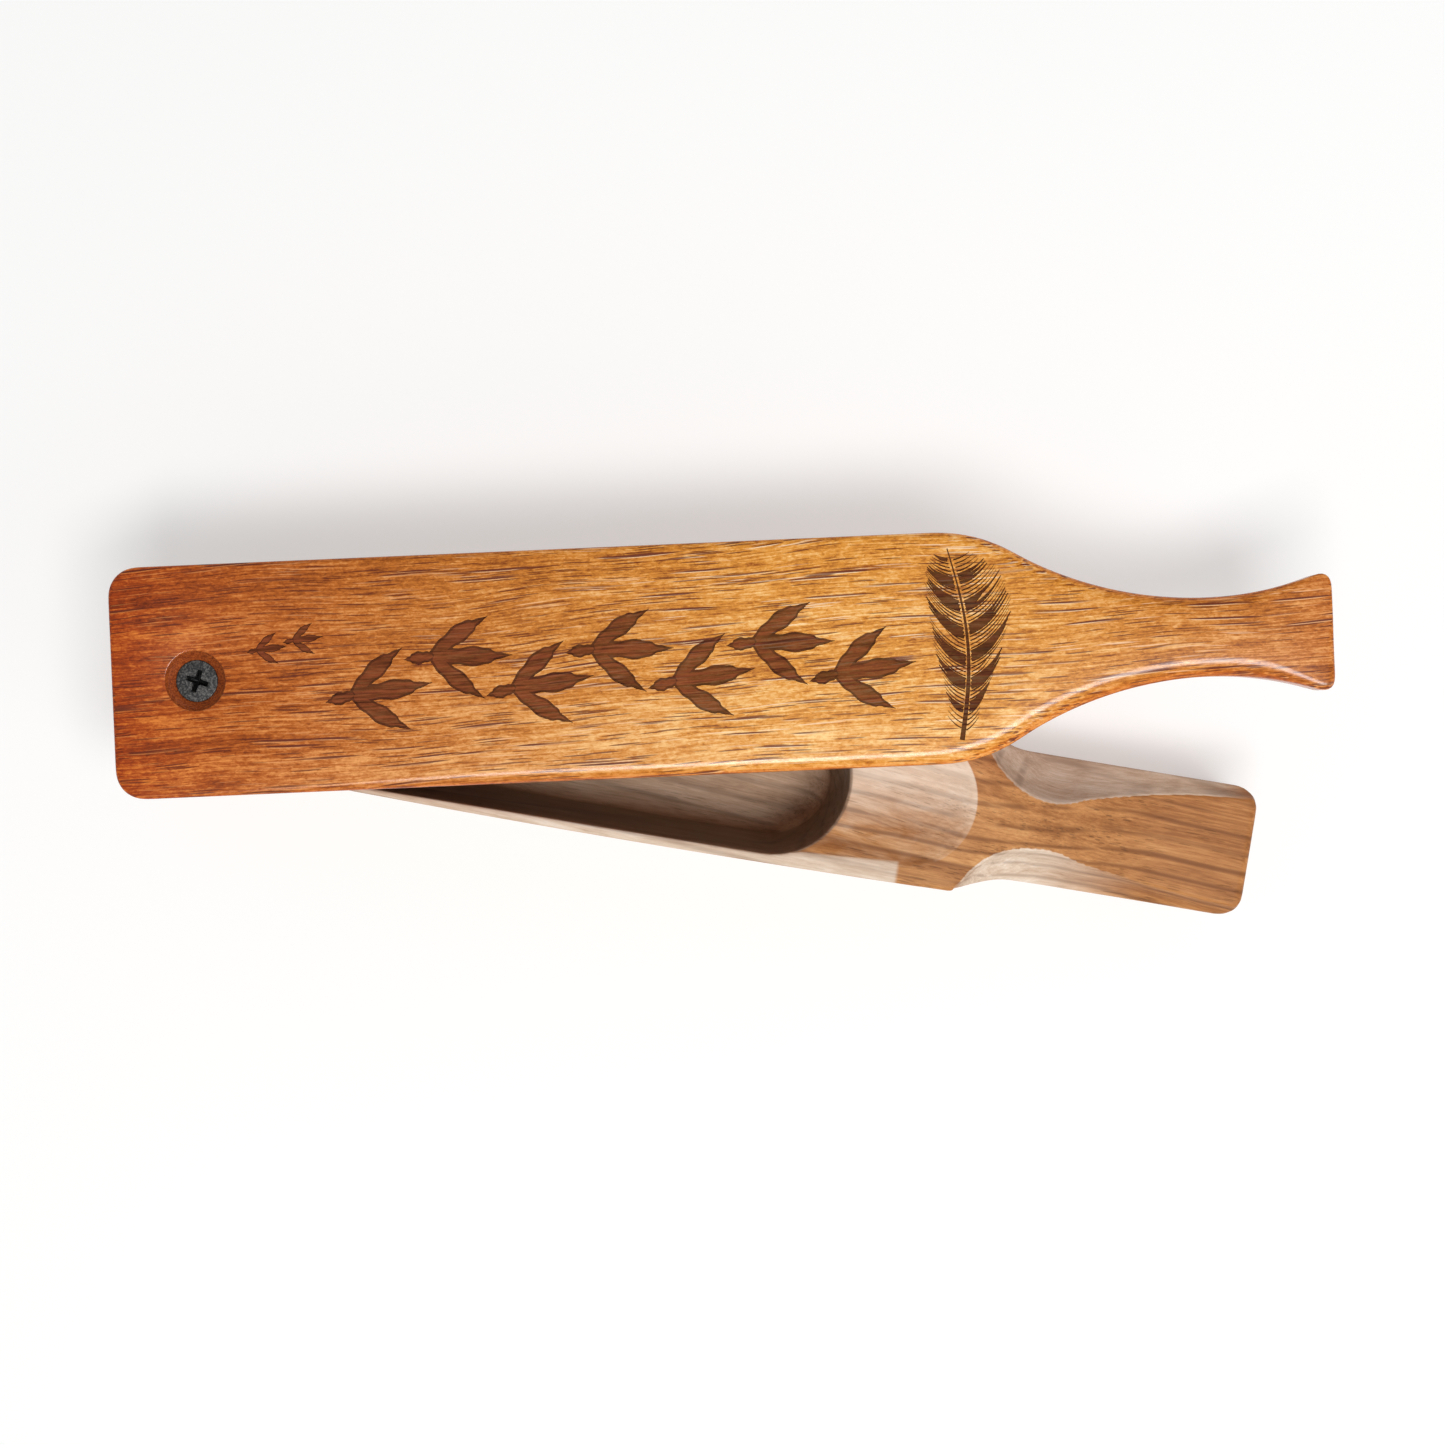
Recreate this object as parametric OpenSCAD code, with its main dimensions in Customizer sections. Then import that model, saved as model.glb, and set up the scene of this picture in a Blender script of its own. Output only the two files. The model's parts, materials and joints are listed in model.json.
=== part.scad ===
// Paddle box call: a one-piece milled sound box with its own handle, and a
// flat paddle lid that swings on one screw and is sprung down onto the lips.
// Origin: on the screw's axis, in the plane of the box's flat base.
// +X runs along the box towards its handle, +Z is up.

/* [Sound box] */
// Length of the box from its pivot end to the shoulder of its handle
box_l = 168.5; // [150:0.5:190]
// Distance from the screw's axis back to the pivot end of the box
pivot_back = 13.5; // [10:0.5:16]
// Width of the box at its widest, across both side boards
box_w = 35.2; // [32:0.2:40]
// Radius of the gentle outward bow of the side boards, seen from above
side_bow_r = 3060; // [2500:10:9000]
// Height of the side boards' lips at the top of their arch
lip_h = 41; // [36:0.5:46]
// Radius of the lengthwise arch of the lips, seen from the side
lip_arch_r = 2450; // [2000:50:6000]
// Drop of the pivot block's top below the lips
pivot_block_drop = 2.4; // [1.5:0.1:4]

/* [Chamber] */
// Width of the chamber at the lips
chamber_w = 31.6; // [28:0.2:33]
// Width of the chamber where its walls meet the bottom fillet
chamber_low_w = 25; // [20:0.5:29]
// Thickness of the chamber's floor
floor_t = 6; // [4:0.5:9]
// Radius of the fillet around the chamber's floor
chamber_fillet_r = 6; // [3:0.5:8]
// Position along X of the chamber's end nearest the screw
chamber_start = 14; // [12:0.5:20]
// Position along X of the chamber's end nearest the handle
chamber_end = 131.6; // [110:0.1:136]

/* [Scoop] */
// Half width of the round-ended relief between the chamber and the handle
scoop_half_w = 14; // [10:0.5:15]
// Depth of the relief along its middle
scoop_depth = 2.6; // [1:0.1:4]
// Position along X of the centre of the relief's round end
scoop_centre = 143.1; // [138:0.1:146]

/* [Box handle] */
// Length of the handle beyond the box's shoulder
grip_l = 59.5; // [50:0.5:80]
// Width of the lower part of the handle
grip_w = 26.8; // [24:0.2:32]
// Height of the top of the handle near its free end
grip_h = 31; // [24:0.5:36]
// Width of the top face where the handle is narrowest
waist_w = 10.2; // [8:0.2:16]
// Distance from the shoulder to the narrowest place
waist_x = 17.3; // [15:0.1:20]
// Width of the top face at the handle's free end
grip_top_w = 22.4; // [16:0.2:25]
// Sideways offset of the top face at the narrowest place
waist_offset = -1.1; // [-2:0.1:2]
// Drop of each sloping flank per millimetre of its width
flank_slope = 1.35; // [0.8:0.05:2]
// Radius of the corners at the free end
grip_corner_r = 4.5; // [2:0.5:6]
// Radius of the handle's long bottom edges
base_edge_r = 2; // [0.5:0.1:3]

/* [Paddle lid] */
// Angle that the lid stands open from the box, at rest
open_angle = 11.9; // [0:0.1:20]
// Distance from the screw's axis back to the lid's square end
lid_back = 16.5; // [14:0.5:20]
// Distance from the screw's axis to the tip of the lid's handle
lid_reach = 224.6; // [200:0.1:250]
// Width of the lid
lid_w = 45.8; // [42:0.2:50]
// Thickness of the lid along its middle
lid_t = 9.6; // [8:0.1:12]
// Rise of the crowned underside from the middle to the long edges
crown = 2; // [0.5:0.1:3]
// Clearance between the lid's underside and the top of the lips
lid_gap = 0.3; // [0.2:0.05:0.6]
// Radius of the corners at the square end
lid_corner_r = 5.5; // [3:0.5:8]
// Position along the lid where its shoulders start
shoulder_x = 146.5; // [140:0.5:150]
// Radius of the convex shoulders
shoulder_r = 30; // [20:1:32]
// Angle that the shoulders turn in towards the handle
shoulder_angle = 28; // [24:0.5:30]
// Radius of the concave sides that run down to the neck
neck_r = 74; // [60:1:76]
// Width of the neck of the lid's handle
neck_w = 15.6; // [14:0.1:18]
// Position along the lid of the neck
neck_x = 200.3; // [196:0.1:201]
// Radius of the flare from the neck to the tip
flare_r = 65; // [45:1:80]
// Radius of the corners at the tip
tip_corner_r = 2; // [1:0.1:3]

/* [Screw, spring and washer] */
// Diameter of the screw's flat head
head_d = 8.3; // [8:0.1:8.6]
// Diameter of the screw's shank
shank_d = 4.2; // [4:0.1:4.4]
// Length of the screw
screw_l = 38; // [32:1:38]
// Depth of the top of the head below the top of the lid
head_depth = 1.9; // [1.7:0.1:2]
// Diameter of the conical recess at the top of the lid
recess_d = 12; // [11.8:0.1:13]
// Diameter of the lid's oversize hole, which lets it rock on the screw
lid_hole_d = 5.5; // [5.4:0.1:6]
// Diameter of the spring's wire
wire_d = 0.9; // [0.7:0.05:1]
// Outside diameter of the spring
spring_d = 8.4; // [8:0.1:8.8]
// Number of turns in the spring
spring_turns = 6.5; // [5:0.5:7]
// Depth of the spring's pocket below the pivot block's top
pocket_depth = 7.6; // [6:0.1:9]
// Diameter of the spring's pocket
pocket_d = 9.6; // [9.4:0.1:10.5]
// Diameter of the washer between the spring and the lid
washer_d = 9.4; // [9:0.1:10]
// Thickness of the washer
washer_t = 0.8; // [0.6:0.1:1]

/* [Hidden] */

$fn = 96;
eps = 0.01;
through = 60;

// sound box
shoulder = box_l - pivot_back;
arch_x = shoulder / 2 - 2;
bow_x = 100;
side_xs = [for (i = [0 : 28]) -pivot_back + box_l * i / 28];
pivot_block_top = lip_h - pivot_block_drop;
block_front = lid_back + 0.7;
chamber_r = chamber_w / 2;
chamber_front = chamber_end - chamber_r;
scoop_r = (pow(scoop_half_w, 2) + pow(scoop_depth, 2)) / (2 * scoop_depth);
block_top = lip_h - arc_drop(lip_arch_r, scoop_centre - arch_x);
grip_end = shoulder + grip_l;
grip_start = shoulder - 7;
waist = shoulder + waist_x;
flank_steps = 5;
cove_r = 17.5;
edge_flat = 0.6;
grip_crown = 0.12;

// lid
lid_z = lip_h + lid_gap;
lid_top = lid_z + lid_t;
crown_r = pow(lid_w / 2, 2) / (2 * crown);
seat_depth = 0.5;
seat_clear = 0.4;

// screw, spring and washer
csk_angle = 41;
cross_angle = -8.5;
head_top = lid_top - head_depth;
head_cone_h = (head_d - shank_d) / 2 / tan(csk_angle);
recess_cone_h = (recess_d - lid_hole_d) / 2 / tan(csk_angle);
thread_pitch = 1.6;
thread_h = 0.5;
thread_turns = 13;
point_h = 3;
pilot_clear = 0.02;
pocket_floor = pivot_block_top - pocket_depth;
washer_z = lid_z + seat_depth - washer_t;
spring_clear = 0.05;
wire_sides = 8;
turn_steps = 24;

// 0 before a, 1 after b, and a smooth step between
function ease(a, b, x) =
    let (t = max(0, min(1, (x - a) / (b - a))))
    t * t * (3 - 2 * t);

// drop of an arc of radius r, at distance d from its highest point
function arc_drop(r, d) = r - sqrt(r * r - d * d);

// how far a corner of radius r has pulled in, at distance d from the end
function corner_in(r, d) = d >= r ? 0 : r - sqrt(max(0, r * r - pow(r - d, 2)));

// ---- sound box ---------------------------------------------------------

// the box seen from above, without its handle
module box_plan() {
    edge = [for (x = side_xs) [x, box_w / 2 - arc_drop(side_bow_r, x - bow_x)]];
    n = len(edge);
    polygon(concat(edge, [for (i = [n - 1 : -1 : 0]) [edge[i][0], -edge[i][1]]]));
}

// the box seen from the side, with its arched lips and lower pivot block, which
// is as long as the lid's square end reaches when the lid swings round
module box_side() {
    difference() {
        polygon(concat([for (x = side_xs) [x, lip_h - arc_drop(lip_arch_r, x - arch_x)]],
                       [[shoulder, 0], [-pivot_back, 0]]));
        translate([-pivot_back - 1, pivot_block_top])
            square([pivot_back + 1 + block_front, 5]);
    }
}

module box_block() {
    intersection() {
        linear_extrude(lip_h)
            box_plan();
        rotate([90, 0, 0])
            linear_extrude(through, center = true)
                box_side();
    }
}

// half of the chamber's section: drafted wall, bottom fillet and floor
module chamber_section() {
    low = chamber_low_w / 2;
    fillet_z = floor_t + chamber_fillet_r;
    wall = (chamber_r - low) / (lip_h - fillet_z);
    union() {
        polygon([[0, floor_t], [low - chamber_fillet_r, floor_t],
                 [low, fillet_z], [chamber_r + wall, lip_h + 1], [0, lip_h + 1]]);
        intersection() {
            translate([low - chamber_fillet_r, fillet_z])
                circle(r = chamber_fillet_r);
            translate([0, floor_t])
                square([low, chamber_fillet_r]);
        }
    }
}

module chamber() {
    rear = chamber_start + chamber_r;
    for (x = [rear, chamber_front])
        translate([x, 0, 0])
            rotate_extrude()
                chamber_section();
    translate([rear, 0, 0])
        rotate([90, 0, 90])
            linear_extrude(chamber_front - rear) {
                chamber_section();
                mirror([1, 0])
                    chamber_section();
            }
}

// round-bottomed relief with a round end
module scoop() {
    straight = scoop_centre - chamber_front;
    translate([scoop_centre, 0, block_top - scoop_depth + scoop_r])
        rotate([0, -90, 0])
            rotate_extrude($fn = 180) {
                square([scoop_r, straight]);
                intersection() {
                    circle(r = scoop_r, $fn = 180);
                    translate([0, -scoop_r])
                        square(scoop_r + eps);
                }
            }
}

// ---- box handle --------------------------------------------------------

// half width of the handle's lower part at x
function grip_half(x) =
    grip_w / 2 + (box_w - grip_w - 1.4) / 2 * (1 - ease(shoulder - 3, shoulder + 12, x))
    - corner_in(grip_corner_r, grip_end - x);

// half width of the top face at x, to the left (side 1) or right (side -1):
// a round cove, then a slow widening
function top_half(x, side) =
    let (d = min(max(0, waist - x), cove_r - 0.5),
         cove = cove_r - sqrt(cove_r * cove_r - d * d),
         spread = max(0, x - waist) / (grip_end - waist),
         widen = (grip_top_w - waist_w) / 2 * (1 - pow(1 - spread, 1.6)) * ease(0, 8, x - waist))
    min(grip_half(x) - edge_flat,
        waist_w / 2 + cove + widen + side * top_shift(x));

// height of the top face at x
function top_z(x) =
    grip_h + (block_top - grip_h - 0.15) * (1 - ease(shoulder - 4, shoulder + 42, x))
    - corner_in(1.5, grip_end - x);

// sideways offset of the top face at x
function top_shift(x) = waist_offset * ease(shoulder, waist, x) * (1 - ease(waist, grip_end - 12, x));

// one side of the section at x, from the base up to the top face
function half_section(x, side) =
    let (b = grip_half(x),
         t = top_half(x, side),
         zt = top_z(x),
         zs = zt - flank_slope * (b - t) - edge_flat,
         sag = 0.12 * (b - t))
    concat([for (a = [0 : 30 : 90])
               [b - base_edge_r * (1 - sin(a)), base_edge_r * (1 - cos(a))]],
           [for (i = [0 : flank_steps])
               let (f = i / flank_steps)
               [b + (t - b) * f - sag * sin(180 * f), zs + (zt - zs) * f - sag * sin(180 * f)]],
           [[t / 2, zt + grip_crown]]);

function full_section(x) =
    let (left = half_section(x, 1),
         right = half_section(x, -1),
         n = len(left))
    concat([for (i = [0 : n - 1]) [x, -right[i][0], right[i][1]]],
           [for (i = [n - 1 : -1 : 0]) [x, left[i][0], left[i][1]]]);

grip_body_l = grip_end - grip_corner_r - grip_start;
grip_xs = concat([for (i = [0 : 38]) grip_start + grip_body_l * i / 39],
                 [for (a = [0 : 15 : 90]) grip_end - grip_corner_r * (1 - sin(a))]);

module box_handle() {
    rings = [for (x = grip_xs) full_section(x)];
    n = len(rings[0]);
    m = len(rings);
    points = [for (ring = rings) each ring];
    sides = [for (i = [0 : m - 2], j = [0 : n - 1])
                let (a = i * n + j, b = i * n + (j + 1) % n)
                each [[a, b, a + n], [b, b + n, a + n]]];
    // each end is a fan about a point in its middle
    middles = [[grip_start, 0, block_top / 2], [grip_end, 0, grip_h / 2]];
    last = (m - 1) * n;
    fans = [for (j = [0 : n - 1])
               each [[m * n, (j + 1) % n, j], [m * n + 1, last + j, last + (j + 1) % n]]];
    polyhedron(points = concat(points, middles), faces = concat(sides, fans), convexity = 4);
}

module sound_box() {
    color("tan")
        difference() {
            union() {
                box_block();
                box_handle();
            }
            chamber();
            scoop();
            // pocket for the spring and pilot hole for the screw
            translate([0, 0, pocket_floor])
                cylinder(d = pocket_d, h = pocket_depth + 1);
            translate([0, 0, head_top - screw_l - 1])
                cylinder(r = shank_d / 2 + pilot_clear, h = pocket_floor - head_top + screw_l + 2);
        }
}

// ---- paddle lid --------------------------------------------------------

// where the straight part of the shoulder starts and the concave part begins
shoulder_dx = shoulder_r * sin(shoulder_angle);
shoulder_dy = shoulder_r * (1 - cos(shoulder_angle));
neck_dx = neck_r * sin(shoulder_angle);

function lid_outline() =
    let (w = lid_w / 2,
         flare_x = lid_reach - tip_corner_r,
         flare_y = neck_w / 2 + flare_r - sqrt(pow(flare_r, 2) - pow(flare_x - neck_x, 2)))
    concat(
        [for (a = [180 : -7.5 : 90])
            [-lid_back + lid_corner_r * (1 + cos(a)), w - lid_corner_r * (1 - sin(a))]],
        [for (a = [0 : 4 : shoulder_angle])
            [shoulder_x + shoulder_r * sin(a), w - shoulder_r * (1 - cos(a))]],
        [for (a = [-shoulder_angle : 2 : 0])
            [neck_x + neck_r * sin(a), neck_w / 2 + neck_r * (1 - cos(a))]],
        [for (f = [0.1 : 0.1 : 0.95])
            let (x = neck_x + (flare_x - neck_x) * f)
            [x, neck_w / 2 + flare_r - sqrt(pow(flare_r, 2) - pow(x - neck_x, 2))]],
        [for (a = [90 : -15 : 0])
            [flare_x + tip_corner_r * cos(a), flare_y - tip_corner_r * (1 - sin(a))]]);

module lid_plan() {
    half = lid_outline();
    n = len(half);
    polygon(concat(half, [for (i = [n - 1 : -1 : 0]) [half[i][0], -half[i][1]]]));
}

module lid_paddle() {
    color("peru")
        rotate([0, 0, open_angle])
            difference() {
                intersection() {
                    translate([0, 0, lid_z])
                        linear_extrude(lid_t)
                            lid_plan();
                    // crowned underside
                    translate([-through, 0, lid_z + crown_r])
                        rotate([0, 90, 0])
                            cylinder(r = crown_r, h = lid_reach + 2 * through, $fn = 360);
                }
                // oversize hole and conical recess for the screw
                translate([0, 0, lid_z - 1])
                    cylinder(d = lid_hole_d, h = lid_t + 2);
                translate([0, 0, lid_top - recess_cone_h])
                    cylinder(d1 = lid_hole_d, d2 = recess_d, h = recess_cone_h);
                // seat for the washer
                translate([0, 0, lid_z - 1])
                    cylinder(d = washer_d + seat_clear, h = 1 + seat_depth);
            }
}

// ---- screw, spring and washer ------------------------------------------

module screw_profile() {
    r = shank_d / 2;
    tip = head_top - screw_l;
    polygon(concat(
        [[0, head_top], [head_d / 2, head_top], [r, head_top - head_cone_h]],
        [for (i = [0 : thread_turns - 1])
            let (z = tip + point_h + (thread_turns - i) * thread_pitch)
            each [[r, z], [r - thread_h, z - thread_pitch / 2]]],
        [[r, tip + point_h], [0, tip]]));
}

module pivot_screw() {
    wing_l = 4.8;
    wing_w = 1.1;
    wing_depth = 2.1;
    color("dimgray")
        difference() {
            rotate_extrude()
                screw_profile();
            // cross recess
            translate([0, 0, head_top - wing_depth])
                for (a = [0, 90])
                    rotate([0, 0, cross_angle + a])
                        translate([-wing_l / 2, -wing_w / 2, 0])
                            cube([wing_l, wing_w, wing_depth + 1]);
        }
}

// one ring of the wire at turn t, with closed ends
function wire_ring(t, low, high) =
    let (rise = ease(0, 0.9, t) * 0.08 + 0.84 * max(0, min(1, (t - 0.6) / (spring_turns - 1.2)))
                + ease(spring_turns - 0.9, spring_turns, t) * 0.08,
         z = low + (high - low) * rise,
         r = (spring_d - wire_d) / 2)
    [for (k = [0 : wire_sides - 1])
        let (a = 360 * k / wire_sides, q = r + wire_d / 2 * cos(a))
        [q * cos(360 * t), q * sin(360 * t), z + wire_d / 2 * sin(a)]];

module tension_spring() {
    low = pocket_floor + spring_clear + wire_d / 2;
    high = washer_z - spring_clear - wire_d / 2;
    m = spring_turns * turn_steps + 1;
    n = wire_sides;
    points = [for (i = [0 : m - 1]) each wire_ring(i / turn_steps, low, high)];
    sides = [for (i = [0 : m - 2], j = [0 : n - 1])
                let (a = i * n + j, b = i * n + (j + 1) % n)
                each [[a, b, a + n], [b, b + n, a + n]]];
    ends = [[for (j = [n - 1 : -1 : 0]) j], [for (j = [0 : n - 1]) (m - 1) * n + j]];
    color("silver")
        polyhedron(points = points, faces = concat(sides, ends), convexity = 8);
}

module spring_washer() {
    color("gainsboro")
        translate([0, 0, washer_z])
            difference() {
                cylinder(d = washer_d, h = washer_t);
                translate([0, 0, -1])
                    cylinder(d = lid_hole_d, h = washer_t + 2);
            }
}

sound_box();
lid_paddle();
pivot_screw();
tension_spring();
spring_washer();
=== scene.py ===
"""Looks of a paddle box call: walnut sound box, engraved mahogany lid, screw, spring and washer."""
import json
import math
import random

import bmesh
import bpy
from mathutils import Matrix, Vector
from mathutils.geometry import delaunay_2d_cdt


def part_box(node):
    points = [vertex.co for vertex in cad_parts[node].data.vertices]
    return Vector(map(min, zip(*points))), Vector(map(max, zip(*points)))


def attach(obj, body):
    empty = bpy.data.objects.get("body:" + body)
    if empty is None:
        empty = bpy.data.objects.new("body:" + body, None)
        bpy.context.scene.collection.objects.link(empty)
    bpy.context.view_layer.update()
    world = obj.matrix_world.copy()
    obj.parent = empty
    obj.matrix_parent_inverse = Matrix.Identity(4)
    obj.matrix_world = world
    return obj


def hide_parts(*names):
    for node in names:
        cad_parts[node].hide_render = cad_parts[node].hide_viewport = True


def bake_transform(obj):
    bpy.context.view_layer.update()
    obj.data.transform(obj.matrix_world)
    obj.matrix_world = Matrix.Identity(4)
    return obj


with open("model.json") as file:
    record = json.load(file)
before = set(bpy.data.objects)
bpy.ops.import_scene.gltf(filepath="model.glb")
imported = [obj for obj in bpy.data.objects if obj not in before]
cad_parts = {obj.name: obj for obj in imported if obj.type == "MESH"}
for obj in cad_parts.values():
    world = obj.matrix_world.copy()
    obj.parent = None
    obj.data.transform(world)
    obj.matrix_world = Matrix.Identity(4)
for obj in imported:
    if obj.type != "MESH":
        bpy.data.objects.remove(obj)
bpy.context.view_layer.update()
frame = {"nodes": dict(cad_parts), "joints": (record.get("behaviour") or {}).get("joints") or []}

MM = 0.001

# ---- sizes in metres, from the frame where it holds them -------------------
LID_LOW, LID_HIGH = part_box("lid_paddle")
BOX_LOW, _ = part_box("sound_box")
SCREW_LOW, SCREW_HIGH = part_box("pivot_screw")
SPRING_LOW, SPRING_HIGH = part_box("tension_spring")
WASHER_LOW, WASHER_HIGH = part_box("spring_washer")
LID_TOP, LID_UNDER = LID_HIGH.z, LID_LOW.z
LIFT_AXIS = next(j for j in frame["joints"] if j["name"] == "lid_lift")["axis"]
OPEN_ANGLE = math.atan2(LIFT_AXIS[0], -LIFT_AXIS[1])

# ---- sizes that the frame doesn't name -------------------------------------
LID_W = 45.8 * MM
CROWN = 2.0 * MM                            # rise of the underside from its middle to its sides
RECESS_R, RECESS_HALF_ANGLE = 6.0 * MM, math.radians(41)
LID_HOLE_R = 2.75 * MM
WASHER_SEAT_R, WASHER_SEAT_DEPTH = 4.9 * MM, 0.5 * MM
ENGRAVE_DEPTH = 0.25 * MM
TOP_ROUND_FLATNESS = 0.58                   # depth of the lid's top round over its reach
LOW_ROUND = 0.8 * MM
CROSS_ANGLE = math.radians(-8.5)
HEAD_R, SHANK_R = 4.15 * MM, 2.1 * MM
THREAD_PITCH, THREAD_DEPTH = 1.6 * MM, 0.5 * MM
SPRING_WIRE, SPRING_R, SPRING_TURNS = 0.9 * MM, 4.2 * MM, 6.5


# ---- meshes ----------------------------------------------------------------
class Shell:
    """The points and faces of a mesh in the making; each face has a material slot."""

    def __init__(self):
        self.verts = []
        self.faces = []

    def points(self, verts):
        """Adds points and returns the index of the first."""
        self.verts.extend(verts)
        return len(self.verts) - len(verts)

    def face(self, indices, slot=0):
        self.faces.append((tuple(indices), slot))

    def band(self, a, b, n):
        """Quads between two closed rings of n points, whose first points are a and b."""
        for i in range(n):
            k = (i + 1) % n
            self.face((a + i, a + k, b + k, b + i))

    def lathe(self, profile, sides):
        """A profile [(radius, z), ...] turned about Z; returns the index of its first point."""
        turns = [2 * math.pi * k / sides for k in range(sides)]
        rings = [self.points([(r * math.cos(a), r * math.sin(a), z) for a in turns]) for r, z in profile]
        for a, b in zip(rings, rings[1:]):
            self.band(a, b, sides)
        return rings[0]

    def mesh_object(self, name, smooth_angle):
        """A mesh object with welded points, outward faces and smooth shading up to an angle."""
        bm = bmesh.new()
        made = [bm.verts.new(v) for v in self.verts]
        for indices, slot in self.faces:
            try:
                bm.faces.new([made[i] for i in indices]).material_index = slot
            except ValueError:
                pass        # a face that is there already, or that has a corner twice
        bmesh.ops.remove_doubles(bm, verts=bm.verts, dist=2e-6)
        bmesh.ops.dissolve_degenerate(bm, edges=bm.edges, dist=1e-7)
        # where three faces share an edge, the smallest is a sliver along a straight outline
        crowded = [e for e in bm.edges if len(e.link_faces) > 2]
        slivers = {min(e.link_faces, key=lambda f: f.calc_area()) for e in crowded}
        bmesh.ops.delete(bm, geom=list(slivers), context="FACES")
        loose = [v for v in bm.verts if not v.link_faces]
        bmesh.ops.delete(bm, geom=loose, context="VERTS")
        bmesh.ops.recalc_face_normals(bm, faces=bm.faces)
        mesh = bpy.data.meshes.new(name)
        bm.to_mesh(mesh)
        bm.free()
        mesh.shade_smooth()
        mesh.set_sharp_from_angle(angle=math.radians(smooth_angle))
        obj = bpy.data.objects.new(name, mesh)
        bpy.context.scene.collection.objects.link(obj)
        return obj


def inside(point, polygon):
    """True if the 2D point is in the closed polygon."""
    x, y = point
    found = False
    x1, y1 = polygon[-1]
    for x2, y2 in polygon:
        if (y1 > y) != (y2 > y) and x < (x2 - x1) * (y - y1) / (y2 - y1) + x1:
            found = not found
        x1, y1 = x2, y2
    return found


def boxed(polygons):
    """Each polygon with its lowest and highest x and y, for in_any."""
    return [(q, min(p[0] for p in q), max(p[0] for p in q), min(p[1] for p in q), max(p[1] for p in q))
            for q in polygons]


def in_any(point, polygons):
    """True if the point is in one of the boxed polygons."""
    x, y = point
    return any(x0 <= x <= x1 and y0 <= y <= y1 and inside(point, q) for q, x0, x1, y0, y1 in polygons)


def triangles(loops, more_points=()):
    """Triangles of a plane that is cut along closed loops: 2D points, and (indices, centre) for each."""
    points = []
    edges = []
    for loop in loops:
        first = len(points)
        points.extend(Vector(p) for p in loop)
        edges.extend((first + i, first + (i + 1) % len(loop)) for i in range(len(loop)))
    points.extend(Vector(p) for p in more_points)
    out, _, tris, _, _, _ = delaunay_2d_cdt(points, edges, [], 0, 1e-8)
    return out, [(tri, (sum(out[i].x for i in tri) / 3, sum(out[i].y for i in tri) / 3)) for tri in tris]


def inset(polygon, d):
    """The polygon moved inwards by d, which may be a number or one per point."""
    n = len(polygon)
    area = sum(polygon[i - 1][0] * polygon[i][1] - polygon[i][0] * polygon[i - 1][1] for i in range(n))
    turn = 1 if area > 0 else -1
    moved = []
    for i, (x, y) in enumerate(polygon):
        (xa, ya), (xb, yb) = polygon[i - 1], polygon[(i + 1) % n]
        tx, ty = xb - xa, yb - ya
        length = math.hypot(tx, ty) or 1
        step = d if isinstance(d, (int, float)) else d[i]
        moved.append((x - turn * ty / length * step, y + turn * tx / length * step))
    return moved


def ease(a, b, x):
    """0 up to a, 1 from b, with a smooth rise between."""
    t = max(0.0, min(1.0, (x - a) / (b - a)))
    return t * t * (3 - 2 * t)


# ---- the lid's outline -----------------------------------------------------
def to_lid(x, y):
    """A point of the row frame in the lid's own frame, with +X along the lid."""
    c, s = math.cos(OPEN_ANGLE), math.sin(OPEN_ANGLE)
    return x * c + y * s, y * c - x * s


def top_face_loop():
    """The corners around the CAD lid's top face, in order, in the lid's own frame."""
    mesh = frame["nodes"]["lid_paddle"].data
    count, place = {}, {}
    for face in mesh.polygons:
        corners = [mesh.vertices[i].co for i in face.vertices]
        if face.normal.z > 0.99 and min(c.z for c in corners) > LID_TOP - 1e-5:
            keys = [(round(c.x * 1e6), round(c.y * 1e6)) for c in corners]
            place.update(zip(keys, [to_lid(c.x, c.y) for c in corners]))
            for a, b in zip(keys, keys[1:] + keys[:1]):
                edge = (min(a, b), max(a, b))
                count[edge] = count.get(edge, 0) + 1
    links = {}
    for (a, b), uses in count.items():
        if uses == 1:
            links.setdefault(a, []).append(b)
            links.setdefault(b, []).append(a)
    start = min(links, key=lambda k: place[k][0])
    loop, last, now = [start], start, links[start][0]
    while now != start:
        loop.append(now)
        last, now = now, next(k for k in links[now] if k != last)
    return [place[k] for k in loop]


def lid_outline(spacing=0.8 * MM):
    """The outline of the CAD lid, evenly spaced and lightly smoothed."""
    points = top_face_loop()
    lengths = [math.dist(points[i], points[(i + 1) % len(points)]) for i in range(len(points))]
    total = sum(lengths)
    n = round(total / spacing)
    even, i, done = [], 0, 0.0
    for k in range(n):
        at = total * k / n
        while done + lengths[i] < at:
            done += lengths[i]
            i += 1
        f = (at - done) / lengths[i]
        a, b = points[i], points[(i + 1) % len(points)]
        even.append((a[0] + (b[0] - a[0]) * f, a[1] + (b[1] - a[1]) * f))
    for _ in range(3):
        even = [((even[i - 1][0] + 2 * even[i][0] + even[(i + 1) % n][0]) / 4,
                 (even[i - 1][1] + 2 * even[i][1] + even[(i + 1) % n][1]) / 4) for i in range(n)]
    return even


# ---- the engraving: bird tracks and a feather ------------------------------
def stroke(points, widths):
    """A closed outline around a line, with a width at each of its points."""
    left, right = [], []
    n = len(points)
    for i, (x, y) in enumerate(points):
        a, b = points[max(0, i - 1)], points[min(n - 1, i + 1)]
        tx, ty = b[0] - a[0], b[1] - a[1]
        length = math.hypot(tx, ty) or 1
        nx, ny = -ty / length * widths[i] / 2, tx / length * widths[i] / 2
        left.append((x + nx, y + ny))
        right.append((x - nx, y - ny))
    return left + right[::-1]


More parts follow.
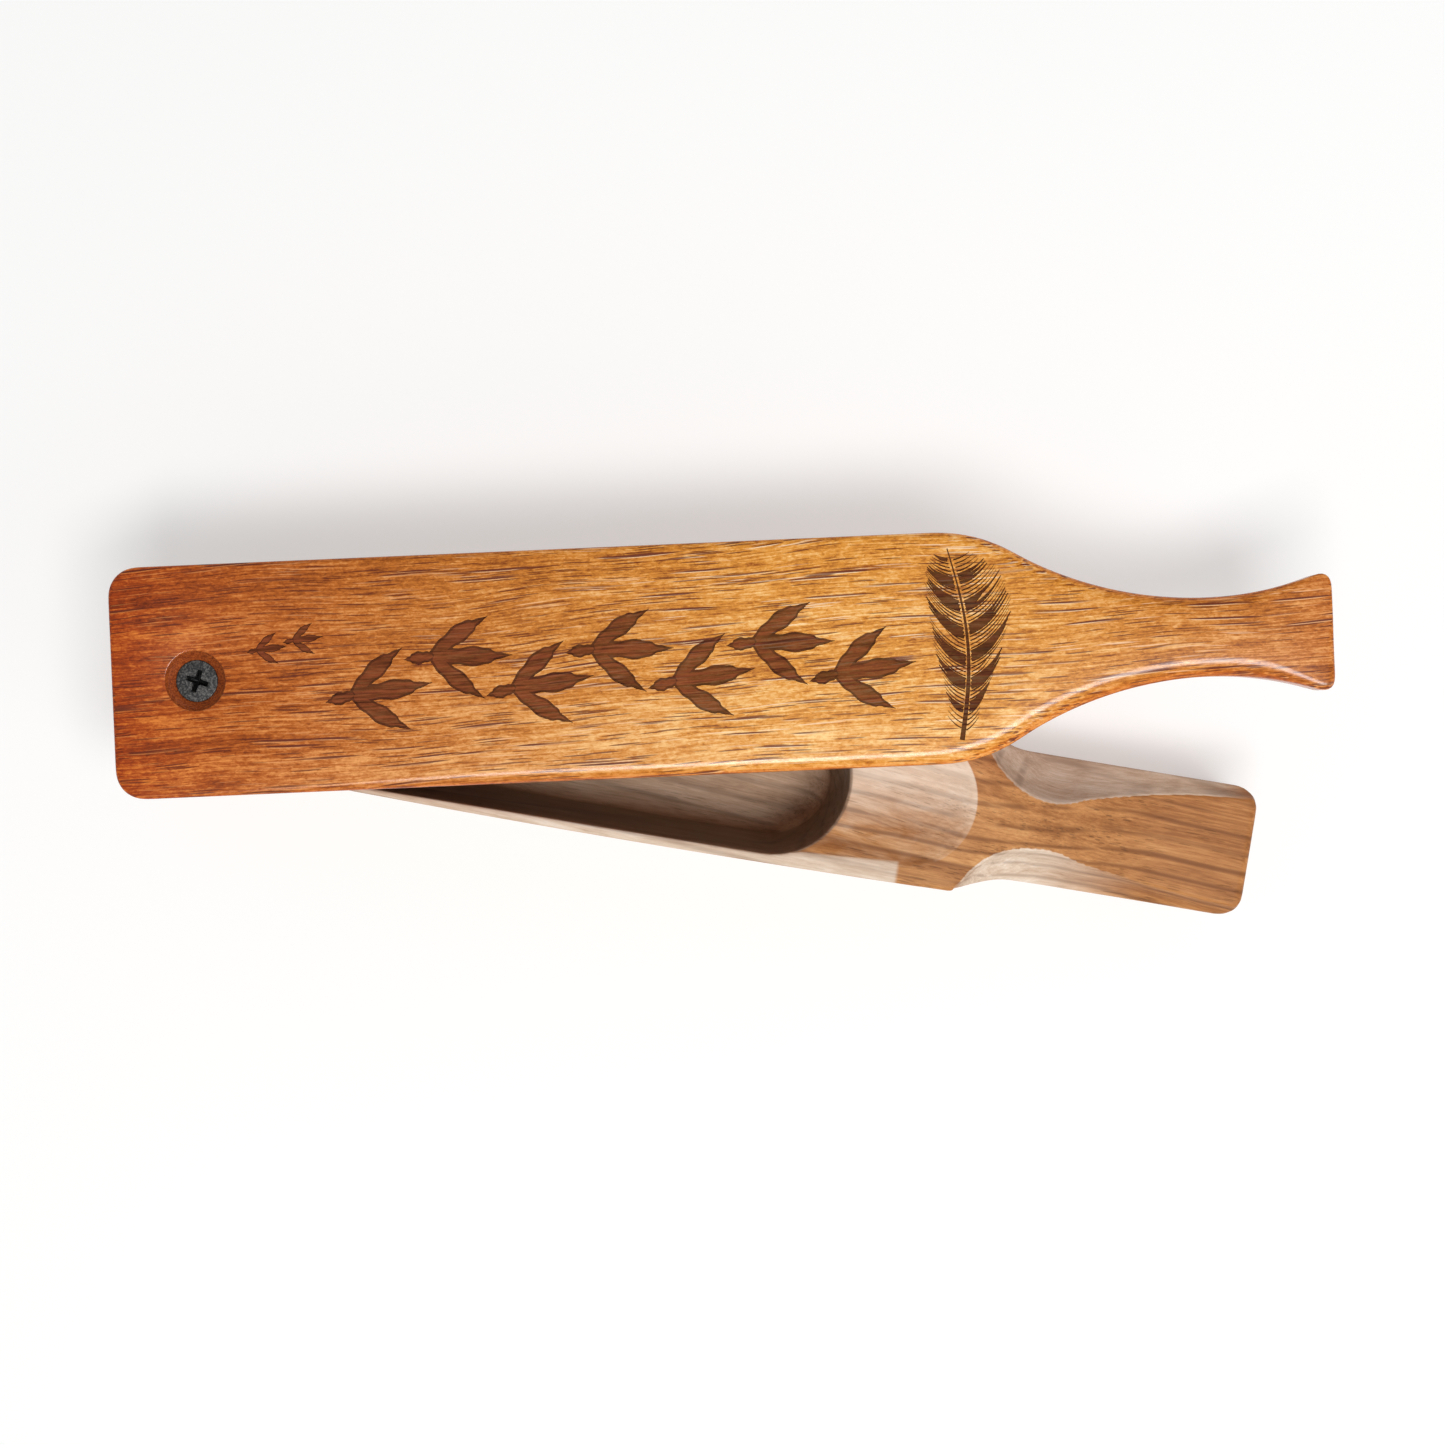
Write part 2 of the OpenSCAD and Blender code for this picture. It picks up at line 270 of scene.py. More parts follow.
def toe(heel, angle, length, width, bend=0.0):
    """One long toe with soft pads, that starts at the heel and ends in a claw."""
    points, widths = [], []
    steps = 26
    for i in range(steps + 1):
        t = i / steps
        a = angle + bend * t
        points.append((heel[0] + length * t * math.cos(a), heel[1] + length * t * math.sin(a)))
        pads = 1 + 0.13 * math.cos(2 * math.pi * (2.6 * t - 0.3)) * ease(0.1, 0.3, t)
        claw = 1 - 0.62 * ease(0.70, 0.80, t) - 0.34 * ease(0.80, 1.0, t)
        widths.append(width * pads * (0.66 + 0.34 * ease(0, 0.3, t)) * claw)
    return stroke(points, widths)


def track(centre, angle, size):
    """The toes of one three-toed track with its short back toe."""
    spread = math.radians(48)
    width = 0.185 * size
    heel = (centre[0] - 0.12 * size * math.cos(angle), centre[1] - 0.12 * size * math.sin(angle))
    return [toe(heel, angle, 0.80 * size, width, 0.04),
            toe(heel, angle + spread, 0.68 * size, width * 0.92, -0.18),
            toe(heel, angle - spread, 0.68 * size, width * 0.92, 0.18),
            toe(heel, angle + math.pi + 0.16, 0.30 * size, width * 0.66)]


def track_row():
    """Two small tracks near the screw, then a line of seven that walks along the lid."""
    tracks = []
    for i in range(2):
        tracks.append(track((13.4 * MM + i * 7.2 * MM, 6.4 * MM + (i - 0.5) * 1.6 * MM), 0.05, 7.4 * MM))
    for i in range(7):
        side = 1 if i % 2 else -1
        place = (33.5 * MM + i * 15.9 * MM, side * 3.3 * MM - 0.6 * MM)
        tracks.append(track(place, math.radians(-4 * side), 19.5 * MM))
    return tracks


def feather_shaft(t):
    """A point of the feather's swayed shaft, from 0 at its foot to 1 at its tip."""
    foot, tip = -18.2 * MM, 19.6 * MM
    centre_x, sway = 150.5 * MM, 2.6 * MM
    return centre_x + sway * math.sin(math.pi * t) - 1.4 * MM * t, foot + (tip - foot) * t


def barb(t, side, reach, width):
    """The outline of one barb, that curves up and away from the shaft."""
    rise = 1 - 0.55 * ease(0.6, 1.0, t)
    x0, y0 = feather_shaft(t)
    x0 += side * 0.55 * MM
    line, widths = [], []
    for i in range(9):
        f = i / 8
        line.append((x0 + side * reach * f * (1 - 0.12 * f),
                     y0 + reach * rise * (0.34 * f + 0.5 * f * f)))
        swell = 0.55 + 0.45 * math.sin(math.pi * min(1, f + 0.25))
        widths.append(width * swell * (1 - 0.6 * f ** 4))
    return stroke(line, widths)


def feather():
    """Strokes of an upright barred feather: its shaft, barbs, dark bars and the down at its foot."""
    rng = random.Random(7)
    steps = [i / 24 for i in range(25)]
    strokes = [stroke([feather_shaft(t) for t in steps], [(1.0 - 0.78 * t) * MM for t in steps])]
    barbs = 40
    notches = {1: (9, 10, 27), -1: (17, 18)}
    for side in (-1, 1):
        for k in range(barbs):
            t = 0.15 + 0.79 * k / (barbs - 1)
            reach = 9.2 * MM * math.sin(math.pi * min(1, (t - 0.08) / 0.93)) ** 0.62
            reach *= 0.86 if side < 0 else 1.0
            if k in notches[side]:
                reach *= 0.62
            reach *= rng.uniform(0.93, 1.04)
            bar = (t * 7.4 + (0.1 if side < 0 else 0)) % 1 < 0.42
            width = (0.86 if bar else 0.3) * MM * rng.uniform(0.85, 1.1)
            strokes.append(barb(t, side, reach, width))
    for k in range(7):
        side = -1 if k % 2 else 1
        x0, y0 = feather_shaft(0.05 + 0.013 * k)
        line = [(x0 + side * (0.5 + 2.6 * f) * MM, y0 + (1.2 * f + 1.3 * f * f) * MM)
                for f in [i / 6 for i in range(7)]]
        strokes.append(stroke(line, [0.3 * MM * (1 - 0.7 * i / 6) for i in range(7)]))
    return strokes


# ---- the lid ---------------------------------------------------------------
WOOD, FILL, LINE = 0, 1, 2      # the lid's material slots


def shrink_toe(outline, line):
    """The toe's outline moved in by the dark line's width, without crossing itself at the ends."""
    n = len(outline)
    half = n // 2
    inner = []
    for i in range(n):
        j = n - 1 - i
        a, b = outline[i], outline[j]
        gap = math.dist(a, b)
        share = min(line, 0.46 * gap) / gap if gap > 1e-9 else 0
        k = min(i, j)
        along = line if k == 0 else (-line * 1.2 if k == half - 1 else 0)
        ahead = outline[1] if k == 0 else outline[half - 2]
        x, y = a[0] + (b[0] - a[0]) * share, a[1] + (b[1] - a[1]) * share
        if along:
            reach = math.dist(a, ahead) or 1
            x += (ahead[0] - a[0]) / reach * abs(along)
            y += (ahead[1] - a[1]) / reach * abs(along)
        inner.append((x, y))
    return inner


def lid_top_face(shell, ring, recess):
    """The flat top inside the ring and outside the recess, with the engraving sunk into it."""
    outlines, inners, lines = [], [], feather()
    for toes in track_row():
        long_toe = math.dist(toes[0][0], toes[0][len(toes[0]) // 2])
        outlines.extend(toes)
        inners.extend(shrink_toe(outline, 0.03 * long_toe) for outline in toes)
    out, tris = triangles([ring, recess, *outlines, *inners, *lines])
    outlines, inners, lines = boxed(outlines), boxed(inners), boxed(lines)
    high = shell.points([(p.x, p.y, LID_TOP) for p in out])
    low = shell.points([(p.x, p.y, LID_TOP - ENGRAVE_DEPTH) for p in out])
    sides = {}
    for tri, centre in tris:
        if not inside(centre, ring) or inside(centre, recess):
            continue
        if in_any(centre, lines):
            kind = LINE
        elif in_any(centre, outlines):
            kind = FILL if in_any(centre, inners) else LINE
        else:
            kind = WOOD
        first = high if kind == WOOD else low
        shell.face([first + i for i in tri], kind)
        for a, b in ((tri[0], tri[1]), (tri[1], tri[2]), (tri[2], tri[0])):
            sides.setdefault((min(a, b), max(a, b)), []).append(kind != WOOD)
    for (a, b), sunk in sides.items():
        if len(sunk) == 2 and sunk[0] != sunk[1]:
            shell.face((high + a, high + b, low + b, low + a), LINE)


def top_round(x, y):
    """Reach of the hand-rounded top edge: least at the pivot end, most at the neck and on the near side."""
    near = y < 0
    side = 0.9 + (1.9 if near else 0.5) * ease(-5 * MM, 70 * MM, x)
    neck = (1.0 if near else 1.3) * ease(140 * MM, 160 * MM, x) * (1 - ease(205 * MM, 222 * MM, x))
    end = 1 - 0.5 * ease(212 * MM, 223 * MM, x)
    return (side + neck) * end * MM


def under_z(y):
    """Height of the crowned underside."""
    return LID_UNDER + CROWN * (y / (LID_W / 2)) ** 2


def lid_edge(shell):
    """The lid's rounded top edge, its side and its bottom round; returns the outlines above and below."""
    outer = lid_outline()
    n = len(outer)
    radii = [top_round(x, y) for x, y in outer]
    for _ in range(12):
        radii = [(radii[i - 1] + 2 * radii[i] + radii[(i + 1) % n]) / 4 for i in range(n)]
    top_steps, low_steps = 9, 4
    rings = []
    for s in range(top_steps + 1):
        a = math.pi / 2 * s / top_steps
        outline = inset(outer, [r * (1 - math.sin(a)) for r in radii])
        rings.append((outline, [LID_TOP - r * TOP_ROUND_FLATNESS * (1 - math.cos(a)) for r in radii]))
    for s in range(low_steps + 1):
        a = math.pi / 2 * s / low_steps
        outline = inset(outer, LOW_ROUND * (1 - math.cos(a)))
        rings.append((outline, [under_z(y) + LOW_ROUND * (1 - math.sin(a)) for _, y in outline]))
    starts = [shell.points([(x, y, z) for (x, y), z in zip(outline, heights)])
              for outline, heights in rings]
    for a, b in zip(starts, starts[1:]):
        shell.band(a, b, n)
    return rings[0][0], rings[-1][0]


def lid_hole(shell):
    """The screw's recess and hole and the washer's seat; returns the circles above and below."""
    sides = 72
    cone = (RECESS_R - LID_HOLE_R) / math.tan(RECESS_HALF_ANGLE)
    seat_z = LID_UNDER + WASHER_SEAT_DEPTH
    rim = 0.22 * MM
    cone_top = RECESS_R - 0.4 * rim
    profile = [(RECESS_R + rim, LID_TOP),
               (RECESS_R + rim * 0.35, LID_TOP - rim * 0.12),
               (RECESS_R - rim * 0.2, LID_TOP - rim * 0.5)]
    profile += [(cone_top - (cone_top - LID_HOLE_R) * f, LID_TOP - rim - (cone - rim) * f)
                for f in [i / 6 for i in range(7)]]
    profile += [(LID_HOLE_R, seat_z), (WASHER_SEAT_R, seat_z), (WASHER_SEAT_R, LID_UNDER)]
    first = shell.lathe(profile, sides)
    for i in range(len(shell.verts) - sides, len(shell.verts)):
        x, y, _ = shell.verts[i]
        shell.verts[i] = (x, y, under_z(y))
    return [v[:2] for v in shell.verts[first:first + sides]], [v[:2] for v in shell.verts[-sides:]]


def lid_underside(shell, ring, seat):
    """The crowned underside inside the ring and outside the washer's seat."""
    grid = 4 * MM
    near_edge = inset(ring, 1.2 * MM)
    more_points = []
    for i in range(int(245 * MM / grid)):
        for j in range(-5, 6):
            p = (-15 * MM + i * grid, j * grid)
            if math.hypot(*p) > WASHER_SEAT_R + 1.2 * MM and inside(p, near_edge):
                more_points.append(p)
    out, tris = triangles([ring, seat], more_points)
    first = shell.points([(p.x, p.y, under_z(p.y)) for p in out])
    for tri, centre in tris:
        if inside(centre, ring) and not inside(centre, seat):
            shell.face([first + i for i in tri])


def build_lid():
    """The paddle lid: rounded edges, the screw's recess, a crowned underside and a sunk engraving."""
    shell = Shell()
    top_ring, bottom_ring = lid_edge(shell)
    recess, seat = lid_hole(shell)
    lid_top_face(shell, top_ring, recess)
    lid_underside(shell, bottom_ring, seat)
    turn = Matrix.Rotation(OPEN_ANGLE, 4, "Z")
    shell.verts = [turn @ Vector(v) for v in shell.verts]
    return shell.mesh_object("engraved_lid", 35)


# ---- the sound box ---------------------------------------------------------
def build_box():
    """A copy of the CAD box with its edges eased, as sanding leaves them."""
    source = frame["nodes"]["sound_box"]
    obj = bpy.data.objects.new("walnut_box", source.data.copy())
    bpy.context.scene.collection.objects.link(obj)
    bpy.context.view_layer.objects.active = obj
    obj.data.materials.clear()
    remesh = obj.modifiers.new("remesh", "REMESH")
    remesh.mode = "VOXEL"
    remesh.voxel_size = 0.42 * MM
    smooth = obj.modifiers.new("ease", "SMOOTH")
    smooth.factor = 0.5
    smooth.iterations = 3
    thin = obj.modifiers.new("thin", "DECIMATE")
    thin.ratio = 0.22
    graph = bpy.context.evaluated_depsgraph_get()
    mesh = bpy.data.meshes.new_from_object(obj.evaluated_get(graph))
    obj.modifiers.clear()
    obj.data = mesh
    for v in mesh.vertices:
        v.co.z = max(v.co.z, 0.0)
    mesh.shade_smooth()
    mesh.set_sharp_from_angle(angle=math.radians(50))
    return obj


# ---- screw, spring and washer ----------------------------------------------
def cross_outline(scale):
    """Outline of a cross recess with rounded inner corners, centred on the screw."""
    arm, half, fillet = 2.4 * MM * scale, 0.55 * MM * scale, 0.45 * MM * scale
    corner = half + fillet
    points = []
    for k in range(4):
        a = CROSS_ANGLE + math.pi / 2 * k
        local = [(arm, -half * 0.85), (arm, half * 0.85)]
        for i in range(5):
            b = math.radians(270 - 22.5 * i)
            local.append((corner + fillet * math.cos(b), corner + fillet * math.sin(b)))
        for x, y in local:
            points.append((x * math.cos(a) - y * math.sin(a), x * math.sin(a) + y * math.cos(a)))
    return points


def threaded_shank(shell, sides, top, tip):
    """The shank from the last ring of the shell down to its tip; its radius follows one helical ridge."""
    rows = 190
    taper = 4 * MM
    last = len(shell.verts) - sides
    for i in range(1, rows + 1):
        z = top + (tip - top) * i / rows
        full = min(1, max(0.04, (z - tip) / taper)) * SHANK_R
        ring = []
        for k in range(sides):
            phase = ((top - z) / THREAD_PITCH + k / sides) % 1
            ridge = max(0, 1 - abs(phase - 0.5) / 0.32)
            run_in = ease(0, 2, (top - z) / THREAD_PITCH)
            r = full - THREAD_DEPTH * (1 - ridge) * run_in * full / SHANK_R
            a = 2 * math.pi * k / sides
            ring.append((r * math.cos(a), r * math.sin(a), z))
        now = shell.points(ring)
        shell.band(last, now, sides)
        last = now
    shell.face(range(last, last + sides))


def screw_top(shell, rim, top):
    """The flat of the head around the cross, and the cross's tapered pit."""
    cross = cross_outline(1.0)
    out, tris = triangles([rim, cross])
    first = shell.points([(p.x, p.y, top) for p in out])
    for tri, centre in tris:
        if not inside(centre, cross):
            shell.face([first + i for i in tri])
    pit = [(1.0, 0.0), (0.93, 0.15), (0.84, 0.9), (0.66, 1.6), (0.3, 2.1)]
    rings = [shell.points([(x, y, top - down * MM) for x, y in cross_outline(scale)])
             for scale, down in pit]
    m = len(cross)
    for a, b in zip(rings, rings[1:]):
        shell.band(a, b, m)
    bottom = shell.points([(0, 0, top - 2.35 * MM)])
    for i in range(m):
        shell.face((rings[-1] + i, rings[-1] + (i + 1) % m, bottom))


def build_screw():
    """The flat-head wood screw with its cross recess and thread."""
    sides = 64
    top, tip = SCREW_HIGH.z, SCREW_LOW.z
    cone = (HEAD_R - SHANK_R) / math.tan(RECESS_HALF_ANGLE)
    thread_top = top - cone - 9 * MM
    shell = Shell()
    profile = [(HEAD_R - 0.35 * MM, top), (HEAD_R - 0.12 * MM, top - 0.04 * MM),
               (HEAD_R, top - 0.16 * MM), (HEAD_R - 0.02 * MM, top - 0.24 * MM),
               (SHANK_R + 0.15 * MM, top - cone), (SHANK_R, top - cone - 0.3 * MM),
               (SHANK_R, thread_top)]
    first = shell.lathe(profile, sides)
    rim = [v[:2] for v in shell.verts[first:first + sides]]
    threaded_shank(shell, sides, thread_top, tip)
    screw_top(shell, rim, top)
    return shell.mesh_object("cross_head_screw", 32)


def build_spring():
    """A coil of round wire whose end turns lie flat."""
    sides, steps = 14, 40
    low, high = SPRING_LOW.z + SPRING_WIRE / 2, SPRING_HIGH.z - SPRING_WIRE / 2
    count = int(SPRING_TURNS * steps)
    shell = Shell()
    for i in range(count + 1):
        t = i / steps
        middle = max(0, min(1, (t - 0.6) / (SPRING_TURNS - 1.2)))
        ends = ease(0, 0.9, t) + ease(SPRING_TURNS - 0.9, SPRING_TURNS, t)
        z = low + (high - low) * (0.08 * ends + 0.84 * middle)
        a = 2 * math.pi * t
        ring = []
        for k in range(sides):
            b = 2 * math.pi * k / sides
            r = SPRING_R - SPRING_WIRE / 2 + SPRING_WIRE / 2 * math.cos(b)
            ring.append((r * math.cos(a), r * math.sin(a), z + SPRING_WIRE / 2 * math.sin(b)))
        shell.points(ring)
    for i in range(count):
        shell.band(i * sides, (i + 1) * sides, sides)
    shell.face(range(sides))
    shell.face(range(count * sides, (count + 1) * sides))
    return shell.mesh_object("coil_spring", 60)


def build_washer():
    """A stamped washer, rounded where the punch went in."""
    low, high = WASHER_LOW.z, WASHER_HIGH.z
    r0, r1, e = LID_HOLE_R, WASHER_HIGH.x, 0.12 * MM
    profile = [(r0, low + e), (r0 + e, low), (r1 - 2 * e, low), (r1 - 0.6 * e, low + 0.4 * e),
               (r1, low + 1.6 * e), (r1, high - e), (r1 - e, high), (r0 + e, high), (r0, high - e),
               (r0, low + e)]
    shell = Shell()
    shell.lathe(profile, 72)
    return shell.mesh_object("plated_washer", 32)


# ---- materials -------------------------------------------------------------
class Shader:
    """A material's node tree, with short calls that return the socket they make."""

    def __init__(self, name):
        self.material = bpy.data.materials.new(name)
        self.material.use_nodes = True
        self.tree = self.material.node_tree
        self.surface = self.tree.nodes["Principled BSDF"]

    def plug(self, socket, value):
        """Links a socket to the value, or sets it; a colour of three gets its alpha."""
        if isinstance(value, bpy.types.NodeSocket):
            self.tree.links.new(value, socket)
        elif socket.type == "RGBA":
            socket.default_value = (*value, 1)
        else:
            socket.default_value = value

    def node(self, kind, inputs=(), out=0, **settings):
        made = self.tree.nodes.new(kind)
        for key, value in settings.items():
            setattr(made, key, value)
        for key, value in dict(inputs).items():
            self.plug(made.inputs[key], value)
        return made.outputs[out]

    def math(self, operation, a, b=0.0, c=0.0, clamp=False):
        return self.node("ShaderNodeMath", {0: a, 1: b, 2: c}, operation=operation, use_clamp=clamp)

    def times(self, a, *others):
        for b in others:
            a = self.math("MULTIPLY", a, b)
        return a

    def centred(self, value, weight, onto, clamp=False):
        """Adds a noise around its middle, times its weight, onto another value."""
        return self.math("MULTIPLY_ADD", self.math("SUBTRACT", value, 0.5), weight, onto, clamp)

    def scaled(self, vector, by):
        return self.node("ShaderNodeVectorMath", {0: vector, 1: by}, operation="MULTIPLY")

    def moved(self, vector, by):
        return self.node("ShaderNodeVectorMath", {0: vector, 1: by}, operation="ADD")

    def noise(self, at, scale=1.0, detail=3.0, rough=0.5, distort=0.0):
        return self.node("ShaderNodeTexNoise", {"Vector": at, "Scale": scale, "Detail": detail,
                                                "Roughness": rough, "Distortion": distort}, "Fac")

    def ramp(self, value, low, high, to_low=0.0, to_high=1.0, smooth=True):
        return self.node("ShaderNodeMapRange", {0: value, 1: low, 2: high, 3: to_low, 4: to_high},
                         interpolation_type="SMOOTHSTEP" if smooth else "LINEAR")

    def colours(self, value, stops):
        """A colour ramp with stops [(place, colour), ...]."""
        made = self.tree.nodes.new("ShaderNodeValToRGB")
        made.color_ramp.interpolation = "LINEAR"
        while len(made.color_ramp.elements) < len(stops):
            made.color_ramp.elements.new(0.5)
        for element, (at, colour) in zip(made.color_ramp.elements, stops):
            element.position = at
            element.color = (*colour, 1)
        self.tree.links.new(value, made.inputs[0])
        return made.outputs[0]

    def mix(self, share, a, b, blend="MIX"):
        return self.node("ShaderNodeMix", {0: share, 6: a, 7: b}, 2, data_type="RGBA", blend_type=blend)

    def place(self, turn=0.0):
        """The place on the piece in millimetres, turned about Z."""
        at = self.node("ShaderNodeTexCoord", out="Object")
        return self.node("ShaderNodeMapping",
                         {"Vector": at, "Rotation": (0, 0, -turn), "Scale": (1000,) * 3})

    def parts(self, vector):
        split = self.tree.nodes.new("ShaderNodeSeparateXYZ")
        self.tree.links.new(vector, split.inputs[0])
        return split.outputs[0], split.outputs[1], split.outputs[2]

    def bump(self, height, distance, strength):
        return self.node("ShaderNodeBump", {"Height": height, "Distance": distance, "Strength": strength})

    def set(self, **inputs):
        """Sets the surface's sockets, whose names have _ for a space, and returns the material."""
        for key, value in inputs.items():
            self.plug(self.surface.inputs[key.replace("_", " ")], value)
        return self.material


def pores(s, grain, seed, size, patch_at, cut=0.32):
    """Short dashes along X where the wood's vessels are cut open: 0 on plain wood, 1 in a pore."""
    moved = s.moved(grain, (seed, seed * 0.7, seed * 0.3))
    cell_at = s.scaled(moved, (1 / size[0], 1 / size[1], 1 / size[1]))
    cells = s.node("ShaderNodeTexVoronoi", {"Vector": cell_at, "Scale": 1.0, "Randomness": 1.0}, "Distance")
    patch = s.noise(s.scaled(moved, (0.03, 0.30, 0.30)), 1.0, 2.0, 0.6)
    return s.times(s.ramp(cells, cut, cut - 0.10), s.ramp(patch, patch_at, patch_at + 0.14))


# ---- mahogany --------------------------------------------------------------
RED = [(0.0, (0.10, 0.008, 0.001)), (0.5, (0.35, 0.034, 0.001)), (1.0, (0.72, 0.17, 0.006))]
GOLD = [(0.0, (0.30, 0.070, 0.003)), (0.5, (0.75, 0.300, 0.036)), (1.0, (1.0, 0.66, 0.27))]


def mahogany_tone(s, at, grain, y, fibre, curl):
    """How light the wood is, from 0 to 1: bands, cloudy figure, slanted curl and fine fibre, and a painted
    sheen that lightens the near side.
    """
    bands = s.noise(s.scaled(grain, (0.006, 0.20, 0.20)), 1.0, 4.0, 0.55)
    figure = s.noise(s.scaled(at, (0.11, 0.30, 0.30)), 1.0, 3.0, 0.55, 1.2)
    tone = 0.5
    for value, weight in ((bands, 1.05), (figure, 0.75), (curl, 1.35), (fibre, 2.0)):
        tone = s.centred(value, weight, tone)
    # painted sheen: the tone is lighter towards the near side, where the key light's sheen falls
    return s.math("ADD", tone, s.ramp(y, 21.0, -21.0, -0.05, 0.06), clamp=True)


def mahogany_vessels(s, colour, grain, x, along):
    """Dark dashes, and pale glints beside them painted as highlights, most of all to the right: the colour,
    the dashes.
    """
    fine = pores(s, grain, 3.1, (12.0, 0.50), 0.36)
    large = pores(s, grain, 17.3, (26.0, 0.78), 0.43)
    dark = s.math("MAXIMUM", s.times(fine, 0.85), large)
    # painted highlights: pale glints beside the pores, where their walls would catch the light
    beside = s.moved(grain, (1.0, 0.22, 0.0))
    painted_glint = s.math("MAXIMUM", pores(s, beside, 17.3, (26.0, 0.78), 0.43, 0.27),
                   pores(s, grain, 41.9, (15.0, 0.44), 0.45, 0.29))
    pale = s.mix(along, (0.80, 0.28, 0.05), (0.98, 0.72, 0.46))
    colour = s.mix(s.times(painted_glint, s.ramp(x, 0.0, 120.0, 0.36, 0.80)), colour, pale)
    return s.mix(s.times(dark, 0.94), colour, (0.13, 0.020, 0.007)), dark


def recess_colour(s, colour, at, x, y, z):
    """Darker, redder colour inside the screw's recess: painted shade, mottled with grit."""
    reach = s.math("SQRT", s.math("ADD", s.times(x, x), s.times(y, y)))
    below = s.ramp(z, LID_TOP / MM - 0.02, LID_TOP / MM - 0.15)
    grit = s.noise(at, 2.6, 3.0, 0.7)
    # painted shade: the recess's cone is painted dark red-brown, mottled with grit
    inner = s.mix(s.ramp(grit, 0.35, 0.65), (0.13, 0.022, 0.005), (0.36, 0.085, 0.018))
    return s.mix(s.times(s.ramp(reach, 6.15, 5.9), below, 0.8), colour, inner)


def mahogany(name, burnt=None):
    """Open-pored mahogany with its grain along the lid; burnt holds the colour and share of the char."""
    s = Shader(name)
    at = s.place(OPEN_ANGLE)
    x, y, z = s.parts(at)
    sway = s.noise(s.scaled(at, (0.011, 0.03, 0.03)), 1.0, 2.0)
    lift = s.math("MULTIPLY_ADD", sway, 9.0, s.times(x, -0.035))
    grain = s.node("ShaderNodeCombineXYZ", {0: x, 1: s.math("ADD", y, lift), 2: z})
    fibre = s.noise(s.scaled(grain, (0.07, 2.2, 2.2)), 1.0, 5.0, 0.74)
    slant = s.node("ShaderNodeMapping", {"Vector": at, "Rotation": (0, 0, 0.6), "Scale": (0.75, 1.7, 1.2)})
    curl = s.noise(slant, 1.0, 4.0, 0.7, 0.7)
    tone = mahogany_tone(s, at, grain, y, fibre, curl)

    # red at the pivot end, gold from the middle on, redder again at the tip: partly the wood's own colour,
    # partly painted light, brighter towards the right where the key light's sheen falls
    along = s.math("SUBTRACT", s.ramp(x, -25.0, 115.0, 0.0, 1.0, False),
                   s.ramp(x, 160.0, 226.0, 0.0, 0.62, False))
    colour = s.mix(along, s.colours(tone, RED), s.colours(tone, GOLD))
    colour, dark = mahogany_vessels(s, colour, grain, x, along)
    # painted shade: the edges below the flat top are painted darker and redder
    edge = s.ramp(z, LID_TOP / MM - 0.03, LID_TOP / MM - 1.1)
    colour = s.mix(edge, colour, (0.93, 0.66, 0.36), "MULTIPLY")
    colour = recess_colour(s, colour, at, x, y, z)
    height = s.math("MULTIPLY_ADD", dark, -1.0, s.times(fibre, 0.30))
    height = s.math("MULTIPLY_ADD", curl, 0.35, height)
    rough = s.math("MULTIPLY_ADD", fibre, 0.16, 0.34)
    varnish = 0.65
    if burnt is not None:
        char, share = burnt
        soot = s.noise(s.scaled(grain, (0.10, 1.5, 1.5)), 1.0, 4.0, 0.66)
        tint = s.mix(s.ramp(soot, 0.34, 0.64), tuple(c * 0.42 for c in char), tuple(c * 1.55 for c in char))
        colour = s.mix(share, colour, tint)
        rough = s.math("ADD", rough, 0.25, clamp=True)
        height = s.math("ADD", height, s.times(soot, 0.6))
        varnish = 0.0
    return s.set(Base_Color=colour, Roughness=rough, Normal=s.bump(height, 0.00012, 0.6),
                 Specular_IOR_Level=0.08, Coat_Weight=varnish, Coat_Roughness=0.19)


# ---- walnut ----------------------------------------------------------------
OILED = [(0.0, (0.20, 0.072, 0.026)), (0.35, (0.35, 0.145, 0.050)),
         (0.62, (0.50, 0.232, 0.088)), (1.0, (0.68, 0.38, 0.17))]
BARE = [(0.0, (0.42, 0.27, 0.18)), (0.35, (0.60, 0.44, 0.32)),
        (0.62, (0.73, 0.58, 0.455)), (1.0, (0.88, 0.78, 0.68))]
# the sound box's own sizes in millimetres, which place its bare wood
CHAMBER_END_X, CHAMBER_END_R = 115.8, 15.95     # centre and radius of the chamber's round end
SCOOP_END_X, SCOOP_END_R = 143.1, 14.0          # centre and radius of the scoop's round end
LIP_TOP_Z, LIP_TOP_X, LIP_ARCH_D = 41.0, 75.5, 4900     # top of the lips' arch, and its diameter


def round_ended(s, x, y, centre, radius):
    """1 in the strip along X that ends in a half circle, seen from above."""
    past = s.math("MAXIMUM", s.math("SUBTRACT", x, centre), 0.0)
    far = s.math("SQRT", s.math("ADD", s.times(past, past), s.times(y, y)))
    return s.ramp(far, radius + 0.18, radius - 0.18)


def growth_lines(s, at, x, y, z, fibre, streak):
    """Dark growth lines that run along the box, a few millimetres apart."""
    warp = s.noise(s.scaled(at, (0.007, 0.035, 0.035)), 1.0, 3.0, 0.5)
    layer = s.math("ADD", y, s.math("MULTIPLY_ADD", z, 0.38, s.times(x, 0.05)))
    turns = s.math("MULTIPLY_ADD", warp, 3.0, s.times(layer, 1 / 3.6))
    wave = s.math("SINE", s.times(turns, 2 * math.pi))
    wave = s.centred(fibre, 1.6, wave)
    return s.times(s.ramp(wave, 0.35, 1.1), s.ramp(streak, 0.34, 0.58))


